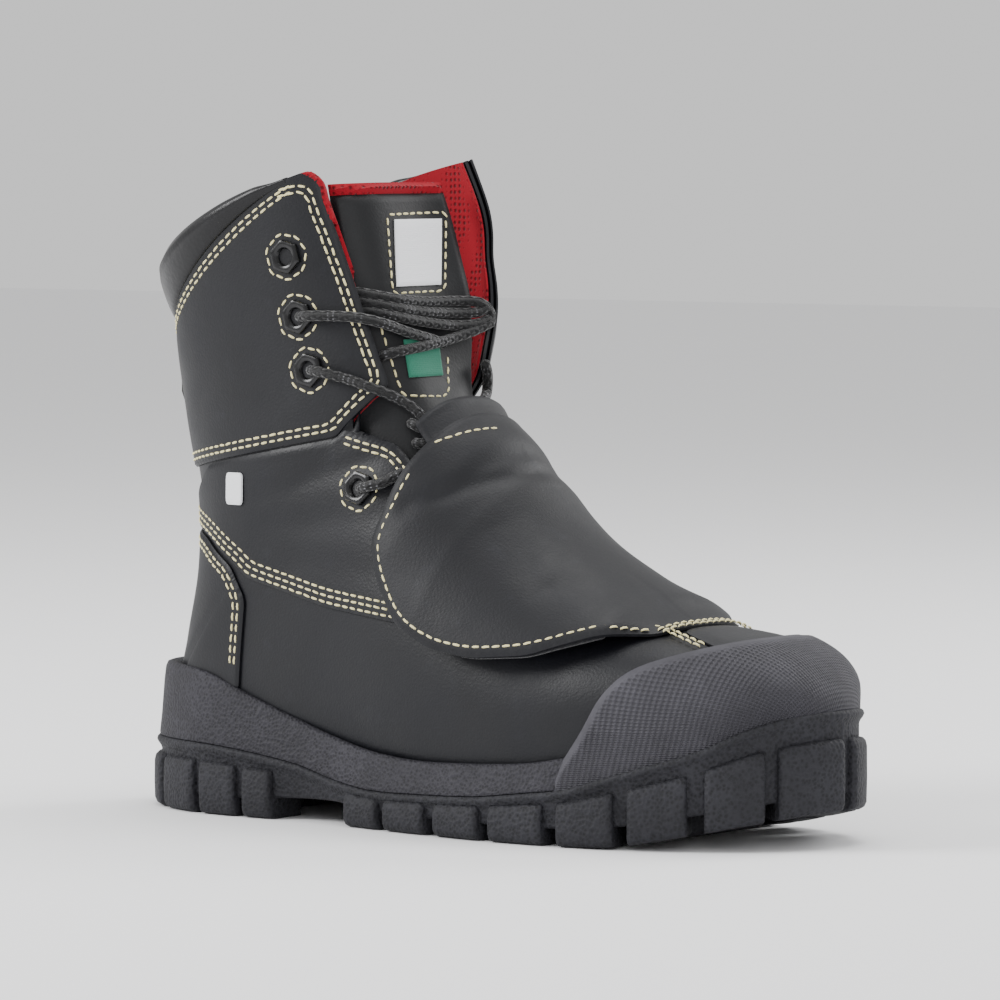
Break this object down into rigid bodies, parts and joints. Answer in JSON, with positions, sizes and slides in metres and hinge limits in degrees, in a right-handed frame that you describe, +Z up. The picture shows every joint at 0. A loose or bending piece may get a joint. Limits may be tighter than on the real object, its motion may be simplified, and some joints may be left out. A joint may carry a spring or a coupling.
{
  "type": "metatarsal guard boot",
  "caption": "Lace-up work boot for the right foot with a leather metatarsal flap, a padded collar and a lugged sole with a toe bumper.",
  "frame": {"origin": "centre of the bounding box in plan, at floor level", "axes": "+X from heel to toe, +Y towards the inner side of the right foot, +Z up"},
  "size_m": [0.3118, 0.1199, 0.2476],
  "materials": {
    "outsole_rubber": "moulded nitrile rubber, dark grey-brown, stippled",
    "midsole_polyurethane": "moulded polyurethane with a diamond texture",
    "footbed_felt": "dark felt",
    "oiled_leather": "black oiled leather, soft sheen",
    "tongue_leather": "smooth black leather with a red knitted binding",
    "collar_leather": "soft smooth black leather over foam",
    "lace_cord": "round black braided cord with grey flecks",
    "webbing": "black webbing",
    "woven_tag": "bare white woven tag",
    "eyelet_enamel": "black enamelled metal"
  },
  "bodies": {
    "root": {"back_stay": "oiled_leather", "collar_pad": "collar_leather", "eyelet_inner_1": "eyelet_enamel", "eyelet_inner_2": "eyelet_enamel", "eyelet_inner_3": "eyelet_enamel", "eyelet_inner_4": "eyelet_enamel", "eyelet_outer_1": "eyelet_enamel", "eyelet_outer_2": "eyelet_enamel", "eyelet_outer_3": "eyelet_enamel", "eyelet_outer_4": "eyelet_enamel", "guard_neck": "oiled_leather", "heel_counter": "oiled_leather", "insole": "footbed_felt", "lace": "lace_cord", "met_guard": "oiled_leather", "midsole": "midsole_polyurethane", "outsole": "outsole_rubber", "pull_tab": "webbing", "quarter_inner": "oiled_leather", "quarter_outer": "oiled_leather", "shaft_panel_inner": "oiled_leather", "shaft_panel_outer": "oiled_leather", "side_tag": "woven_tag", "toe_cap": "oiled_leather", "tongue": "tongue_leather", "tongue_patch": "woven_tag", "upper": "oiled_leather"}
  },
  "joints": []
}
